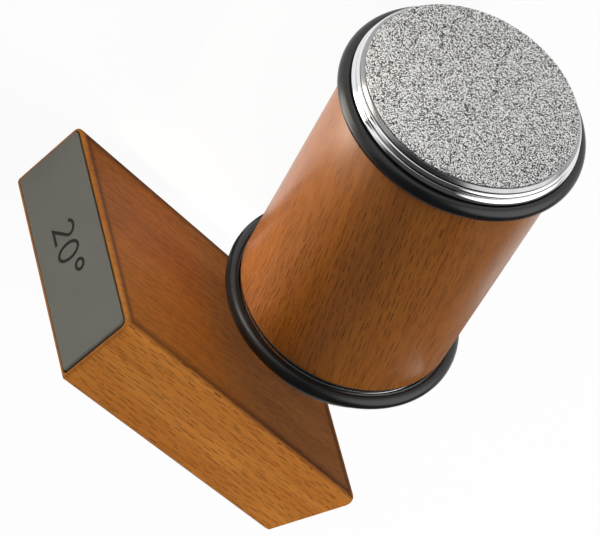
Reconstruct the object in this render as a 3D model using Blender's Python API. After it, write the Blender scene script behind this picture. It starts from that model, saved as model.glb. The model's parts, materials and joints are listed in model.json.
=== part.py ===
"""Rolling knife sharpener: a wooden roller with an abrasive disc on each end, and a magnetic angle block.

The block lies on its long side with its wide face towards -Y and its 20 degree end at +X. The roller
lies on its two rubber rings in front of that face. The origin is the centre of the face that the block
lies on. Sizes are in metres and +Z is up.
"""
import math

import bmesh
import bpy
from mathutils import Matrix

# Angle block: a loaf of wood with a leaning pad on each end
BLOCK_LENGTH = 0.110
BLOCK_WIDTH = 0.0525
BLOCK_THICKNESS = 0.021
STEEP_END_ANGLE = math.radians(20)
SHALLOW_END_ANGLE = math.radians(15)
BLOCK_EDGE_RADIUS = 0.0022
BLOCK_ARRIS = 0.0006

# Pads that the blade lies against, let into the ends of the wood, and the magnets behind them
PAD_THICKNESS = 0.0022
PAD_PROUD = 0.0006
PAD_INSET = 0.0011
PAD_EDGE_RADIUS = 0.0005
WOOD_END_RADIUS = 0.0007
MAGNET_BAR_LENGTH = 0.0125
MAGNET_BAR_HEIGHT = 0.0100
MAGNET_BAR_THICKNESS = 0.0040
MAGNET_BAR_COUNT = 3
MAGNET_BAR_SPACING = 0.0006
KEEPER_THICKNESS = 0.0012
POCKET_CORNER_RADIUS = 0.0015

# Non-slip sheet let into the base
SHEET_LENGTH = 0.074
SHEET_WIDTH = 0.040
BASE_SHEET_THICKNESS = 0.0012
BASE_SHEET_PROUD = 0.0004
BASE_SHEET_CORNER_RADIUS = 0.005

# Roller: face to face length, and where it lies beside the block
ROLLER_LENGTH = 0.083
RING_SPAN = 0.0708
RING_OUTER_RADIUS = 0.0280
RING_SECTION_RADIUS = 0.00175
ROLLER_TURN = math.radians(42)
ROLLER_SHIFT = 0.0113
ROLLER_TO_BLOCK = 0.0035

# Wooden grip
GRIP_RADIUS = 0.0255
GRIP_EDGE_RADIUS = 0.0005
GRIP_BORE_RADIUS = 0.0085

# Abrasive discs
FACE_RADIUS = 0.0240
GRIT_SHEET_THICKNESS = 0.00035
GLUE_LINE = 0.00015
DISC_RADIUS = 0.02485
DISC_BEVEL_START = 0.02425
DISC_BEVEL_HEIGHT = 0.00065
DISC_RIM_HEIGHT = 0.00010
SPIGOT_RADIUS = 0.0200
SPIGOT_DEPTH = 0.0012

# Chrome hubs
HUB_CREST_RADIUS = 0.0254
HUB_CREST_ROUNDING = 0.00065
HUB_REVEAL_RADIUS = 0.0251
HUB_REVEAL_HEIGHT = 0.00015
HUB_BAND_RADIUS = 0.0256
HUB_BAND_HEIGHT = 0.00085
HUB_LIP_RADIUS = 0.0259
HUB_LIP_HEIGHT = 0.00045
HUB_FLANGE_RADIUS = 0.0257
HUB_FLANGE_HEIGHT = 0.00055
HUB_ARRIS = 0.00010
HUB_BOSS_RADIUS = 0.0060
HUB_WEB_THICKNESS = 0.0030
GROOVE_HALF_ANGLE = math.radians(70)

# Disc magnets in the hubs
MAGNET_DISC_RADIUS = 0.0040
MAGNET_DISC_THICKNESS = 0.0025
MAGNET_DISC_CIRCLE = 0.0125
MAGNET_DISC_COUNT = 4

# Axle, spacer and screws
AXLE_RADIUS = 0.0040
AXLE_CHAMFER = 0.0004
SPACER_RADIUS = 0.0055
SCREW_RADIUS = 0.0020
SCREW_HEAD_RADIUS = 0.0040
SCREW_HEAD_LAND = 0.00020
SCREW_LENGTH = 0.0095
SCREW_SOCKET_RADIUS = 0.00145
SCREW_SOCKET_DEPTH = 0.0014
TAPPED_HOLE_DEPTH = 0.0085

# Ball bearings
BEARING_RADIUS = 0.0110
BEARING_WIDTH = 0.0070
BEARING_RECESS = 0.0005
BALL_RADIUS = 0.0018
BALL_CIRCLE = 0.00775
BALL_COUNT = 7
RACE_SHOULDER = 0.00145
RACE_CHAMFER = 0.0003
CAGE_RADIAL_HALF = 0.00095
CAGE_AXIAL_HALF = 0.00265

# Clearances
CONTACT_GAP = 0.0003
RUNNING_GAP = 0.0004
CUT_OVERRUN = 0.0010
WELD_DISTANCE = 0.000001

# Facets
ROUND_STEPS = 40
BEARING_STEPS = 20
RING_SECTION_STEPS = 9
GROOVE_STEPS = 5
RACE_GROOVE_STEPS = 4
EDGE_STEPS = 2
END_RIM_STEPS = 3
CORNER_STEPS = 4
BALL_SEGMENTS = 8
BALL_RINGS = 6
POCKET_STEPS = 12
CAGE_STEPS_PER_BALL = 4
SOCKET_SIDES = 6
SMOOTH_ANGLE = math.radians(35)

# Heights along the roller's axis from its middle, the same for both ends
FACE_Z = ROLLER_LENGTH / 2
PLATE_TOP_Z = FACE_Z - GRIT_SHEET_THICKNESS - GLUE_LINE
PLATE_BOTTOM_Z = PLATE_TOP_Z - DISC_BEVEL_HEIGHT - DISC_RIM_HEIGHT
HUB_TOP_Z = PLATE_BOTTOM_Z - CONTACT_GAP
HUB_RECESS_Z = PLATE_BOTTOM_Z - SPIGOT_DEPTH - CONTACT_GAP
RING_Z = RING_SPAN / 2
RING_CIRCLE = RING_OUTER_RADIUS - RING_SECTION_RADIUS
GROOVE_RADIUS = RING_SECTION_RADIUS + CONTACT_GAP
HUB_INNER_Z = RING_Z - GROOVE_RADIUS * math.sin(GROOVE_HALF_ANGLE) - HUB_FLANGE_HEIGHT
GRIP_END_Z = HUB_INNER_Z - RUNNING_GAP
BEARING_OUTER_Z = GRIP_END_Z - BEARING_RECESS
BEARING_Z = BEARING_OUTER_Z - BEARING_WIDTH / 2
BEARING_INNER_Z = BEARING_OUTER_Z - BEARING_WIDTH
WEB_BOTTOM_Z = HUB_RECESS_Z - HUB_WEB_THICKNESS
AXLE_END_Z = WEB_BOTTOM_Z - CONTACT_GAP
SCREW_TOP_Z = HUB_RECESS_Z - CONTACT_GAP
RACE_GROOVE_RADIUS = BALL_RADIUS + CONTACT_GAP


def clear_scene():
    """Empty the scene that the file opens with."""
    for obj in list(bpy.data.objects):
        bpy.data.objects.remove(obj, do_unlink=True)


def finish(name, colour, roughness, metallic=0.0):
    """One Principled surface."""
    material = bpy.data.materials.new(name)
    material.use_nodes = True
    shader = material.node_tree.nodes["Principled BSDF"]
    shader.inputs["Base Color"].default_value = (*colour, 1.0)
    shader.inputs["Roughness"].default_value = roughness
    shader.inputs["Metallic"].default_value = metallic
    return material


def frame(name, parent=None, location=(0, 0, 0), rotation=(0, 0, 0)):
    """An empty that carries pieces in its own axes."""
    empty = bpy.data.objects.new(name, None)
    empty.location = location
    empty.rotation_euler = rotation
    empty.parent = parent
    bpy.context.collection.objects.link(empty)
    return empty


def place(name, mesh, material, parent, location=(0, 0, 0), rotation=(0, 0, 0)):
    """Name a mesh, give it its surface and hang it on its frame."""
    obj = bpy.data.objects.new(name, mesh)
    obj.location = location
    obj.rotation_euler = rotation
    obj.parent = parent
    if material is not None and not mesh.materials:
        mesh.materials.append(material)
    bpy.context.collection.objects.link(obj)
    return obj


def cut(target, cutter):
    """Subtract a hidden cutter from a piece."""
    cutter.hide_render = True
    cutter.display_type = "WIRE"
    modifier = target.modifiers.new("cut_" + cutter.name, "BOOLEAN")
    modifier.operation = "DIFFERENCE"
    modifier.solver = "EXACT"
    modifier.object = cutter


def mesh_from(bm, name):
    """Close a bmesh off into a smooth shaded mesh with its faces out."""
    bmesh.ops.recalc_face_normals(bm, faces=bm.faces)
    mesh = bpy.data.meshes.new(name)
    bm.to_mesh(mesh)
    bm.free()
    mesh.shade_smooth()
    mesh.set_sharp_from_angle(angle=SMOOTH_ANGLE)
    return mesh


def arc(centre, radius, start, end, steps):
    """Points on an arc, ends included."""
    points = []
    for index in range(steps + 1):
        angle = start + (end - start) * index / steps
        points.append((centre[0] + radius * math.cos(angle), centre[1] + radius * math.sin(angle)))
    return points


def turned(name, outline, steps):
    """Turn a closed outline of (radius, height) points about Z."""
    bm = bmesh.new()
    ring = [bm.verts.new((radius, 0, height)) for radius, height in outline]
    edges = [bm.edges.new((ring[index - 1], ring[index])) for index in range(len(ring))]
    bmesh.ops.spin(bm, geom=ring + edges, cent=(0, 0, 0), axis=(0, 0, 1), angle=math.tau,
                   steps=steps, use_merge=True)
    bmesh.ops.remove_doubles(bm, verts=bm.verts, dist=WELD_DISTANCE)
    return mesh_from(bm, name)


def extruded(name, outline, bottom, top):
    """A prism over an outline of (x, y) points."""
    bm = bmesh.new()
    base = bm.faces.new([bm.verts.new((x, y, bottom)) for x, y in outline])
    raised = bmesh.ops.extrude_face_region(bm, geom=[base])["geom"]
    lifted = [item for item in raised if isinstance(item, bmesh.types.BMVert)]
    bmesh.ops.translate(bm, verts=lifted, vec=(0, 0, top - bottom))
    return mesh_from(bm, name)


def box_mesh(name, size_x, size_y, size_z):
    """A box about the origin."""
    bm = bmesh.new()
    bmesh.ops.create_cube(bm, size=1, matrix=Matrix.Diagonal((size_x, size_y, size_z, 1)))
    return mesh_from(bm, name)


def rounded_rectangle(length, width, radius):
    """Outline of a rectangle about the origin with round corners."""
    reach_x = length / 2 - radius
    reach_y = width / 2 - radius
    corners = [(reach_x, reach_y), (-reach_x, reach_y), (-reach_x, -reach_y), (reach_x, -reach_y)]
    outline = []
    for index, corner in enumerate(corners):
        start = index * math.pi / 2
        outline += arc(corner, radius, start, start + math.pi / 2, CORNER_STEPS)
    return outline


# Angle block


def loaf_outline(inset):
    """Cross-section of the block in (y, z), set in from its sides: round at the wide face, crisp behind."""
    front = -BLOCK_THICKNESS / 2 + inset
    back = BLOCK_THICKNESS / 2 - inset
    top = BLOCK_WIDTH - inset
    radius = BLOCK_EDGE_RADIUS - inset
    outline = arc((front + radius, inset + radius), radius, -math.pi, -math.pi / 2, CORNER_STEPS)
    outline += [(back - BLOCK_ARRIS, inset), (back, inset + BLOCK_ARRIS)]
    outline += [(back, top - BLOCK_ARRIS), (back - BLOCK_ARRIS, top)]
    outline += arc((front + radius, top - radius), radius, math.pi / 2, math.pi, CORNER_STEPS)
    return outline


def steep_end_x(y, depth):
    """Where the 20 degree end lies at height y of the section, set back by depth along its normal."""
    lean = (y + BLOCK_THICKNESS / 2) * math.tan(STEEP_END_ANGLE)
    return BLOCK_LENGTH / 2 - lean - depth / math.cos(STEEP_END_ANGLE)


def shallow_end_x(y, depth):
    """The same for the 15 degree end."""
    lean = (y + BLOCK_THICKNESS / 2) * math.tan(SHALLOW_END_ANGLE)
    return -BLOCK_LENGTH / 2 + lean + depth / math.cos(SHALLOW_END_ANGLE)


def loaf(name, left, right, inset, rounded_ends, rounding):
    """The block's section run from one leaning end to the other; left and right give x at a y."""
    bm = bmesh.new()
    section = loaf_outline(inset)
    ends = []
    for end in (left, right):
        ends.append(bm.faces.new([bm.verts.new((end(y), y, z)) for y, z in section]))
    bmesh.ops.bridge_loops(bm, edges=list(ends[0].edges) + list(ends[1].edges))
    bmesh.ops.recalc_face_normals(bm, faces=bm.faces)
    rim = [edge for index in rounded_ends for edge in ends[index].edges]
    if rim:
        bmesh.ops.bevel(bm, geom=rim, offset=rounding, segments=END_RIM_STEPS, profile=0.5,
                        affect="EDGES", clamp_overlap=True)
    return mesh_from(bm, name)


def end_frame(name, parent, angle, side):
    """Axes of a leaning end: X out of the pad, Y towards the base, at the middle of the pad's face."""
    middle_x = side * (BLOCK_LENGTH / 2 - BLOCK_THICKNESS / 2 * math.tan(angle))
    rotation = Matrix(((side * math.cos(angle), -side * math.sin(angle), 0),
                       (math.sin(angle), math.cos(angle), 0),
                       (0, 0, side)))
    return frame(name, parent, (middle_x, 0, BLOCK_WIDTH / 2), rotation.to_euler())


def build_magnets(angle_name, parent, angle, block_body, magnet_finish, keeper_finish):
    """Bar magnets and their keeper in a pocket of the wood, close behind the pad."""
    row = MAGNET_BAR_COUNT * MAGNET_BAR_LENGTH + (MAGNET_BAR_COUNT - 1) * MAGNET_BAR_SPACING
    pocket_depth = MAGNET_BAR_THICKNESS + KEEPER_THICKNESS + 2 * CONTACT_GAP
    wood_face = -PAD_THICKNESS - CONTACT_GAP
    centre_y = (PAD_THICKNESS + pocket_depth / 2) * math.tan(angle)

    pocket = rounded_rectangle(row + 2 * CONTACT_GAP, MAGNET_BAR_HEIGHT + 2 * CONTACT_GAP,
                               POCKET_CORNER_RADIUS)
    into_wood = Matrix.Rotation(math.pi / 2, 3, "Y").to_euler()
    pocket_mesh = extruded("pocket_" + angle_name, pocket, wood_face - pocket_depth,
                           wood_face + CUT_OVERRUN)
    pocket_cutter = place("pocket_cutter_" + angle_name, pocket_mesh, None, parent,
                          (0, centre_y, 0), into_wood)
    cut(block_body, pocket_cutter)

    keeper_back = wood_face - pocket_depth + CONTACT_GAP
    keeper_outline = rounded_rectangle(row, MAGNET_BAR_HEIGHT, POCKET_CORNER_RADIUS)
    keeper_mesh = extruded("keeper_" + angle_name, keeper_outline, keeper_back,
                           keeper_back + KEEPER_THICKNESS)
    place("keeper_" + angle_name, keeper_mesh, keeper_finish, parent, (0, centre_y, 0), into_wood)

    bar_mesh = box_mesh("magnet_bar_" + angle_name, MAGNET_BAR_THICKNESS,
                        MAGNET_BAR_HEIGHT - 2 * CONTACT_GAP, MAGNET_BAR_LENGTH)
    bar_x = wood_face - MAGNET_BAR_THICKNESS / 2
    pitch = MAGNET_BAR_LENGTH + MAGNET_BAR_SPACING
    for index in range(MAGNET_BAR_COUNT):
        bar_z = (index - (MAGNET_BAR_COUNT - 1) / 2) * pitch
        name = "magnet_" + angle_name + "_" + str(index + 1)
        place(name, bar_mesh, magnet_finish, parent, (bar_x, centre_y, bar_z))


def build_block():
    """Wood, pads, magnets and base sheet."""
    wood = finish("block_wood", (0.42, 0.18, 0.055), 0.42)
    pad = finish("pad_rubber", (0.115, 0.115, 0.09), 0.5)
    nickel = finish("magnet_nickel", (0.62, 0.60, 0.56), 0.25, 1.0)
    steel = finish("keeper_steel", (0.45, 0.45, 0.46), 0.4, 1.0)
    black = finish("sheet_rubber", (0.03, 0.03, 0.03), 0.8)
    block = frame("block_frame")

    body_mesh = loaf("block_body", lambda y: shallow_end_x(y, PAD_PROUD),
                     lambda y: steep_end_x(y, PAD_PROUD), 0, (0, 1), WOOD_END_RADIUS)
    body = place("block_body", body_mesh, wood, block)
    pad_20_mesh = loaf("pad_20", lambda y: steep_end_x(y, PAD_THICKNESS),
                       lambda y: steep_end_x(y, 0), PAD_INSET, (1,), PAD_EDGE_RADIUS)
    place("pad_20", pad_20_mesh, pad, block)
    pad_15_mesh = loaf("pad_15", lambda y: shallow_end_x(y, 0),
                       lambda y: shallow_end_x(y, PAD_THICKNESS), PAD_INSET, (0,), PAD_EDGE_RADIUS)
    place("pad_15", pad_15_mesh, pad, block)

    pad_seat = PAD_THICKNESS + CONTACT_GAP
    seat_inset = PAD_INSET - CONTACT_GAP
    seat_20_mesh = loaf("pad_seat_20", lambda y: steep_end_x(y, pad_seat),
                        lambda y: steep_end_x(y, -CUT_OVERRUN), seat_inset, (), 0)
    cut(body, place("pad_seat_cutter_20", seat_20_mesh, None, block))
    seat_15_mesh = loaf("pad_seat_15", lambda y: shallow_end_x(y, -CUT_OVERRUN),
                        lambda y: shallow_end_x(y, pad_seat), seat_inset, (), 0)
    cut(body, place("pad_seat_cutter_15", seat_15_mesh, None, block))

    steep = end_frame("steep_end_frame", block, STEEP_END_ANGLE, 1)
    shallow = end_frame("shallow_end_frame", block, SHALLOW_END_ANGLE, -1)
    build_magnets("20", steep, STEEP_END_ANGLE, body, nickel, steel)
    build_magnets("15", shallow, SHALLOW_END_ANGLE, body, nickel, steel)

    base_middle = (steep_end_x(BLOCK_THICKNESS / 2, 0) + shallow_end_x(BLOCK_THICKNESS / 2, 0)) / 2
    sheet_floor = BLOCK_THICKNESS / 2 + BASE_SHEET_PROUD - BASE_SHEET_THICKNESS
    onto_base = (-math.pi / 2, 0, 0)
    recess_outline = rounded_rectangle(SHEET_LENGTH + 2 * CONTACT_GAP, SHEET_WIDTH + 2 * CONTACT_GAP,
                                       BASE_SHEET_CORNER_RADIUS + CONTACT_GAP)
    recess_mesh = extruded("sheet_recess", recess_outline, sheet_floor - CONTACT_GAP,
                           BLOCK_THICKNESS / 2 + CUT_OVERRUN)
    sheet_place = (base_middle, 0, BLOCK_WIDTH / 2)
    recess_cutter = place("sheet_recess_cutter", recess_mesh, None, block, sheet_place, onto_base)
    cut(body, recess_cutter)
    sheet_outline = rounded_rectangle(SHEET_LENGTH, SHEET_WIDTH, BASE_SHEET_CORNER_RADIUS)
    sheet_mesh = extruded("base_sheet", sheet_outline, sheet_floor, sheet_floor + BASE_SHEET_THICKNESS)
    place("base_sheet", sheet_mesh, black, block, sheet_place, onto_base)


# Roller


def grip_outline():
    """Wooden sleeve: bearing seat in each end and a clear bore between them."""
    seat = BEARING_RADIUS + CONTACT_GAP
    shoulder = BEARING_INNER_Z - CONTACT_GAP
    round_z = GRIP_END_Z - GRIP_EDGE_RADIUS
    round_r = GRIP_RADIUS - GRIP_EDGE_RADIUS
    quarter = math.pi / 2
    outline = arc((round_r, -round_z), GRIP_EDGE_RADIUS, -quarter, 0, EDGE_STEPS)
    outline += arc((round_r, round_z), GRIP_EDGE_RADIUS, 0, quarter, EDGE_STEPS)
    outline += [(seat, GRIP_END_Z), (seat, shoulder), (GRIP_BORE_RADIUS, shoulder)]
    outline += [(GRIP_BORE_RADIUS, -shoulder), (seat, -shoulder), (seat, -GRIP_END_Z)]
    return outline


def axle_outline():
    """Axle with a chamfer and a tapped hole at each end."""
    hole = SCREW_RADIUS + CONTACT_GAP
    hole_z = AXLE_END_Z - TAPPED_HOLE_DEPTH
    chamfer_z = AXLE_END_Z - AXLE_CHAMFER
    upper = [(AXLE_RADIUS, chamfer_z), (AXLE_RADIUS - AXLE_CHAMFER, AXLE_END_Z), (hole, AXLE_END_Z)]
    upper += [(hole, hole_z), (0, hole_z)]
    lower = [(radius, -height) for radius, height in reversed(upper)]
    return upper + lower


def spacer_outline():
    """Tube between the two inner races."""
    reach = BEARING_INNER_Z - CONTACT_GAP
    bore = AXLE_RADIUS + CONTACT_GAP
    return [(SPACER_RADIUS, -reach), (SPACER_RADIUS, reach), (bore, reach), (bore, -reach)]


def race_outline(shoulder, wall, facing):
    """Race section: plain wall on one side, ball groove on the other; facing is 1 inwards, -1 outwards."""
    half = BEARING_WIDTH / 2
    corner = wall - facing * RACE_CHAMFER
    groove_reach = math.acos(RACE_SHOULDER / RACE_GROOVE_RADIUS)
    middle = 0 if facing > 0 else math.pi
    groove = arc((BALL_CIRCLE, 0), RACE_GROOVE_RADIUS, middle + groove_reach, middle - groove_reach,
                 RACE_GROOVE_STEPS)
    if facing < 0:
        groove.reverse()
    outline = [(wall, half - RACE_CHAMFER), (corner, half), (shoulder, half)]
    outline += groove
    outline += [(shoulder, -half), (corner, -half), (wall, RACE_CHAMFER - half)]
    return [(radius, height + BEARING_Z) for radius, height in outline]


def hub_outline():
    """Chrome hub: boss, inner flange, ring groove, lip, band, crest, disc recess and screw seat."""
    bore = AXLE_RADIUS + CONTACT_GAP
    boss_z = BEARING_OUTER_Z + CONTACT_GAP
    flange_z = HUB_INNER_Z + HUB_FLANGE_HEIGHT
    lip_z = RING_Z + (RING_Z - flange_z)
    band_z = lip_z + HUB_LIP_HEIGHT + HUB_REVEAL_HEIGHT
    reveal_z = band_z + HUB_BAND_HEIGHT
    crest_z = HUB_TOP_Z - HUB_CREST_ROUNDING
    groove_start = -math.pi + GROOVE_HALF_ANGLE
    groove_end = -math.pi - GROOVE_HALF_ANGLE
    outline = [(bore, boss_z), (HUB_BOSS_RADIUS, boss_z), (HUB_BOSS_RADIUS, HUB_INNER_Z)]
    outline += [(HUB_FLANGE_RADIUS - HUB_ARRIS, HUB_INNER_Z), (HUB_FLANGE_RADIUS, HUB_INNER_Z + HUB_ARRIS)]
    outline += [(HUB_FLANGE_RADIUS, flange_z - HUB_ARRIS)]
    outline += arc((RING_CIRCLE, RING_Z), GROOVE_RADIUS, groove_start, groove_end,
                   GROOVE_STEPS)
    outline += [(HUB_LIP_RADIUS, lip_z + HUB_ARRIS), (HUB_LIP_RADIUS, lip_z + HUB_LIP_HEIGHT)]
    outline += [(HUB_REVEAL_RADIUS, band_z), (HUB_BAND_RADIUS, band_z + HUB_ARRIS)]
    outline += [(HUB_CREST_RADIUS, reveal_z - HUB_ARRIS), (HUB_REVEAL_RADIUS, reveal_z)]
    outline += arc((HUB_CREST_RADIUS - HUB_CREST_ROUNDING, crest_z), HUB_CREST_ROUNDING, 0,
                   math.pi / 2, EDGE_STEPS)
    recess = SPIGOT_RADIUS + CONTACT_GAP
    head = SCREW_HEAD_RADIUS + CONTACT_GAP
    hole = SCREW_RADIUS + CONTACT_GAP
    cone_top = SCREW_TOP_Z - SCREW_HEAD_LAND
    cone_bottom = cone_top - (SCREW_HEAD_RADIUS - SCREW_RADIUS)
    outline += [(recess, HUB_TOP_Z), (recess, HUB_RECESS_Z), (head, HUB_RECESS_Z)]
    outline += [(head, cone_top), (hole, cone_bottom), (hole, WEB_BOTTOM_Z), (bore, WEB_BOTTOM_Z)]
    return outline


def screw_outline():
    """Countersunk screw, head up."""
    cone_top = SCREW_TOP_Z - SCREW_HEAD_LAND
    cone_bottom = cone_top - (SCREW_HEAD_RADIUS - SCREW_RADIUS)
    tip = SCREW_TOP_Z - SCREW_LENGTH
    return [(0, tip), (SCREW_RADIUS, tip), (SCREW_RADIUS, cone_bottom), (SCREW_HEAD_RADIUS, cone_top),
            (SCREW_HEAD_RADIUS, SCREW_TOP_Z), (0, SCREW_TOP_Z)]


def disc_outline(bevel_start, top):
    """Disc with a bevelled edge and a spigot that centres it in the hub."""
    rim_z = PLATE_BOTTOM_Z + DISC_RIM_HEIGHT
    spigot_z = PLATE_BOTTOM_Z - SPIGOT_DEPTH
    return [(0, spigot_z), (SPIGOT_RADIUS, spigot_z), (SPIGOT_RADIUS, PLATE_BOTTOM_Z),
            (DISC_RADIUS, PLATE_BOTTOM_Z), (DISC_RADIUS, rim_z), (bevel_start, top), (0, top)]


def sheet_outline():
    """Round grit sheet, bonded a glue line above the coarse plate."""
    bottom = FACE_Z - GRIT_SHEET_THICKNESS
    return [(0, bottom), (FACE_RADIUS, bottom), (FACE_RADIUS, FACE_Z), (0, FACE_Z)]


def peg_mesh(name, radius, bottom, top, steps):
    """A round peg on Z."""
    bm = bmesh.new()
    middle = Matrix.Translation((0, 0, (bottom + top) / 2))
    bmesh.ops.create_cone(bm, cap_ends=True, segments=steps, radius1=radius, radius2=radius,
                          depth=top - bottom, matrix=middle)
    return mesh_from(bm, name)


def on_circle(circle, count, index):
    """Place of one of several pieces that are spread evenly round Z."""
    turn = math.tau * index / count
    return (circle * math.cos(turn), circle * math.sin(turn), 0)


def build_bearing(end, end_axes, steel, brass):
    """Deep groove ball bearing: two races, balls and a ring cage."""
    outer = race_outline(BALL_CIRCLE + RACE_SHOULDER, BEARING_RADIUS, 1)
    place(end + "_bearing_outer_race", turned(end + "_outer_race", outer, BEARING_STEPS), steel, end_axes)
    inner = race_outline(BALL_CIRCLE - RACE_SHOULDER, AXLE_RADIUS + CONTACT_GAP, -1)
    place(end + "_bearing_inner_race", turned(end + "_inner_race", inner, BEARING_STEPS), steel, end_axes)

    ball_bm = bmesh.new()
    at_bearing = Matrix.Translation((0, 0, BEARING_Z))
    bmesh.ops.create_uvsphere(ball_bm, u_segments=BALL_SEGMENTS, v_segments=BALL_RINGS,
                              radius=BALL_RADIUS, matrix=at_bearing)
    ball_mesh = mesh_from(ball_bm, end + "_ball")
    pockets = bmesh.new()
    pocket_radius = BALL_RADIUS + CONTACT_GAP
    pocket_reach = 2 * CAGE_RADIAL_HALF + 2 * CUT_OVERRUN
    for index in range(BALL_COUNT):
        place(end + "_ball_" + str(index + 1), ball_mesh, steel, end_axes,
              on_circle(BALL_CIRCLE, BALL_COUNT, index))
        radial = (Matrix.Rotation(math.tau * index / BALL_COUNT, 4, "Z")
                  @ Matrix.Translation((BALL_CIRCLE, 0, BEARING_Z))
                  @ Matrix.Rotation(math.pi / 2, 4, "Y"))
        bmesh.ops.create_cone(pockets, cap_ends=True, segments=POCKET_STEPS, radius1=pocket_radius,
                              radius2=pocket_radius, depth=pocket_reach, matrix=radial)

    inside = BALL_CIRCLE - CAGE_RADIAL_HALF
    outside = BALL_CIRCLE + CAGE_RADIAL_HALF
    low = BEARING_Z - CAGE_AXIAL_HALF
    high = BEARING_Z + CAGE_AXIAL_HALF
    band = turned(end + "_cage", [(inside, low), (outside, low), (outside, high), (inside, high)],
                  BALL_COUNT * CAGE_STEPS_PER_BALL)
    cage = place(end + "_bearing_cage", band, brass, end_axes)
    cutter = place(end + "_cage_pockets", mesh_from(pockets, end + "_cage_pockets"), None, end_axes)
    cut(cage, cutter)


def build_end(end, end_axes, chrome, rubber, steel, nickel, brass):
    """What both ends of the roller have: hub, ring, screw, magnets and bearing."""
    hub = place(end + "_hub", turned(end + "_hub", hub_outline(), ROUND_STEPS), chrome, end_axes)
    magnet_floor = HUB_RECESS_Z - MAGNET_DISC_THICKNESS - CONTACT_GAP
    magnet_mesh = peg_mesh(end + "_hub_magnet", MAGNET_DISC_RADIUS, magnet_floor + CONTACT_GAP,
                           HUB_RECESS_Z, POCKET_STEPS)
    seat_mesh = peg_mesh(end + "_magnet_seat", MAGNET_DISC_RADIUS + CONTACT_GAP, magnet_floor,
                         HUB_RECESS_Z + CUT_OVERRUN / 2, POCKET_STEPS)
    for index in range(MAGNET_DISC_COUNT):
        spot = on_circle(MAGNET_DISC_CIRCLE, MAGNET_DISC_COUNT, index)
        number = "_" + str(index + 1)
        place(end + "_hub_magnet" + number, magnet_mesh, nickel, end_axes, spot)
        cut(hub, place(end + "_magnet_seat" + number, seat_mesh, None, end_axes, spot))

    section = arc((RING_CIRCLE, RING_Z), RING_SECTION_RADIUS, 0, math.tau, RING_SECTION_STEPS)[:-1]
    place(end + "_ring", turned(end + "_ring", section, ROUND_STEPS), rubber, end_axes)

    screw = place(end + "_hub_screw", turned(end + "_screw", screw_outline(), BEARING_STEPS), steel,
                  end_axes)
    socket = bmesh.new()
    socket_depth = SCREW_SOCKET_DEPTH + CUT_OVERRUN
    spot = Matrix.Translation((0, 0, SCREW_TOP_Z - SCREW_SOCKET_DEPTH + socket_depth / 2))
    bmesh.ops.create_cone(socket, cap_ends=True, segments=SOCKET_SIDES, radius1=SCREW_SOCKET_RADIUS,
                          radius2=SCREW_SOCKET_RADIUS, depth=socket_depth, matrix=spot)
    cut(screw, place(end + "_socket_cutter", mesh_from(socket, end + "_socket"), None, end_axes))

    build_bearing(end, end_axes, steel, brass)


def roller_place():
    """Middle of the roller: its fine end clears the block's wide face, and its rings stand on z = 0."""
    disc_reach = FACE_Z * math.cos(ROLLER_TURN) + FACE_RADIUS * math.sin(ROLLER_TURN)
    ring_reach = RING_Z * math.cos(ROLLER_TURN) + RING_CIRCLE * math.sin(ROLLER_TURN)
    reach = max(disc_reach, ring_reach + RING_SECTION_RADIUS)
    return (ROLLER_SHIFT, -BLOCK_THICKNESS / 2 - ROLLER_TO_BLOCK - reach, RING_OUTER_RADIUS)


def build_roller():
    """Grip, axle, spacer, both ends and both discs."""
    wood = finish("grip_wood", (0.45, 0.20, 0.065), 0.35)
    chrome = finish("hub_chrome", (0.86, 0.86, 0.87), 0.07, 1.0)
    rubber = finish("ring_rubber", (0.015, 0.015, 0.016), 0.35)
    steel = finish("bearing_steel", (0.60, 0.60, 0.61), 0.22, 1.0)
    nickel = finish("hub_magnet_nickel", (0.62, 0.60, 0.56), 0.25, 1.0)
    brass = finish("cage_brass", (0.70, 0.52, 0.22), 0.35, 1.0)
    plate = finish("plate_steel", (0.36, 0.36, 0.35), 0.35, 1.0)
    grit = finish("diamond_grit", (0.42, 0.41, 0.39), 0.75, 0.2)
    honing = finish("honing_steel", (0.66, 0.66, 0.67), 0.3, 1.0)

    roller = frame("roller_frame", None, roller_place(), (math.pi / 2, 0, ROLLER_TURN))
    coarse = frame("coarse_end_frame", roller)
    fine = frame("fine_end_frame", roller, (0, 0, 0), (math.pi, 0, 0))

    place("wood_grip", turned("wood_grip", grip_outline(), ROUND_STEPS), wood, roller)
    place("axle", turned("axle", axle_outline(), BEARING_STEPS), steel, roller)
    place("spacer_tube", turned("spacer_tube", spacer_outline(), BEARING_STEPS), steel, roller)
    build_end("coarse", coarse, chrome, rubber, steel, nickel, brass)
    build_end("fine", fine, chrome, rubber, steel, nickel, brass)

    coarse_plate = turned("coarse_disc_plate", disc_outline(DISC_BEVEL_START, PLATE_TOP_Z), ROUND_STEPS)
    place("coarse_disc_plate", coarse_plate, plate, coarse)
    place("coarse_grit_sheet", turned("coarse_grit_sheet", sheet_outline(), ROUND_STEPS), grit, coarse)
    honing_disc = turned("honing_disc", disc_outline(FACE_RADIUS, FACE_Z), ROUND_STEPS)
    place("honing_disc", honing_disc, honing, fine)


clear_scene()
build_block()
build_roller()
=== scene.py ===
"""Rolling knife sharpener: an oiled beech roller with chrome ends, lying beside its beech angle block."""
import json
import math

import bmesh
import bpy
from mathutils import Matrix, Vector

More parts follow.
